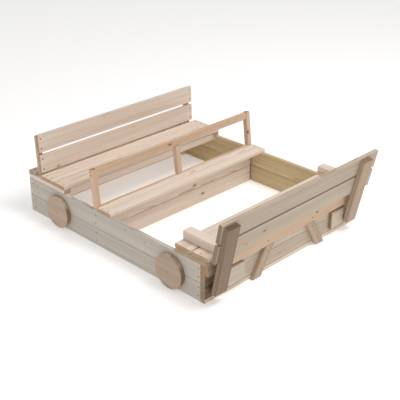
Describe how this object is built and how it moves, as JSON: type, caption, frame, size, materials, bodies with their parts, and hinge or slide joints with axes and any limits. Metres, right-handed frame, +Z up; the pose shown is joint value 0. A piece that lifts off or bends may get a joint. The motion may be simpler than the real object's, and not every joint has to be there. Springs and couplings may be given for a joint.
{
  "type": "sandbox with cover",
  "caption": "Car-shaped raw softwood sandbox without a floor; its folding cover opens into a front bench, with a rear bench, windscreen frame and dummy wheels.",
  "frame": {"origin": "middle of the footprint's bounding box, on the ground", "axes": "+Z up, -Y towards the car's front, +X towards the car's right-hand side"},
  "size_m": [1.16, 1.3904, 0.4386],
  "materials": {
    "board_softwood": "planed raw softwood, unfinished",
    "trim_softwood": "planed raw softwood, warmer tone",
    "wheel_softwood": "sawn raw softwood disc",
    "screw_steel": "dull yellow-passivated steel",
    "hinge_steel": "zinc plated",
    "pin_steel": "plain steel"
  },
  "bodies": {
    "box": {"back_stop_left": "board_softwood", "back_stop_right": "board_softwood", "dash_board": "board_softwood", "frame_screws": "screw_steel", "front_apron": "trim_softwood", "front_corner_battens": "board_softwood", "front_ground_lath": "board_softwood", "front_wall_lower": "board_softwood", "front_wall_upper": "board_softwood", "headlamp_left": "trim_softwood", "headlamp_right": "trim_softwood", "ledge_board_inner": "board_softwood", "ledge_board_outer": "board_softwood", "ledge_hinge_leaves": "hinge_steel", "partition_cleats": "board_softwood", "partition_lower": "board_softwood", "partition_upper": "board_softwood", "radiator_slat_left": "trim_softwood", "radiator_slat_right": "trim_softwood", "rear_backrest_board_lower": "board_softwood", "rear_backrest_board_upper": "board_softwood", "rear_backrest_post_left": "board_softwood", "rear_backrest_post_right": "board_softwood", "rear_corner_battens": "board_softwood", "rear_seat_apron": "board_softwood", "rear_seat_board_back": "board_softwood", "rear_seat_board_front": "board_softwood", "rear_seat_rail_left": "board_softwood", "rear_seat_rail_right": "board_softwood", "rear_strip_board": "board_softwood", "rear_wall_lower": "board_softwood", "rear_wall_upper": "board_softwood", "side_wall_left_lower": "board_softwood", "side_wall_left_upper": "board_softwood", "side_wall_right_lower": "board_softwood", "side_wall_right_upper": "board_softwood", "wheel_front_left": "wheel_softwood", "wheel_front_right": "wheel_softwood", "wheel_rear_left": "wheel_softwood", "wheel_rear_right": "wheel_softwood", "wheel_screws": "screw_steel", "windscreen_foot_rail": "trim_softwood", "windscreen_post_left": "trim_softwood", "windscreen_post_middle": "trim_softwood", "windscreen_post_right": "trim_softwood", "windscreen_top_rail": "trim_softwood"},
    "seat_leaf": {"hinge_pins": "pin_steel", "seat_batten_left": "board_softwood", "seat_batten_right": "board_softwood", "seat_board_inner": "board_softwood", "seat_board_outer": "board_softwood", "seat_hinge_leaves": "hinge_steel", "seat_screws": "screw_steel", "seat_straps": "hinge_steel"},
    "back_leaf": {"back_board_lower": "board_softwood", "back_board_upper": "board_softwood", "back_leaves": "hinge_steel", "back_post_left": "board_softwood", "back_post_right": "board_softwood", "back_screws": "screw_steel"}
  },
  "joints": [
    {"name": "cover_fold", "type": "hinge", "parent": "box", "child": "seat_leaf", "pos_m": [0, -0.38677, 0.21165], "axis": [-1, 0, 0], "range_deg": [0, 180]},
    {"name": "back_fold", "type": "hinge", "parent": "seat_leaf", "child": "back_leaf", "pos_m": [0, -0.61077, 0.2361], "axis": [1, 0, 0], "range_deg": [0, 78.3]}
  ],
  "couplings": [
    {"joint": "back_fold", "follows": "cover_fold", "ratio": 0.435}
  ]
}
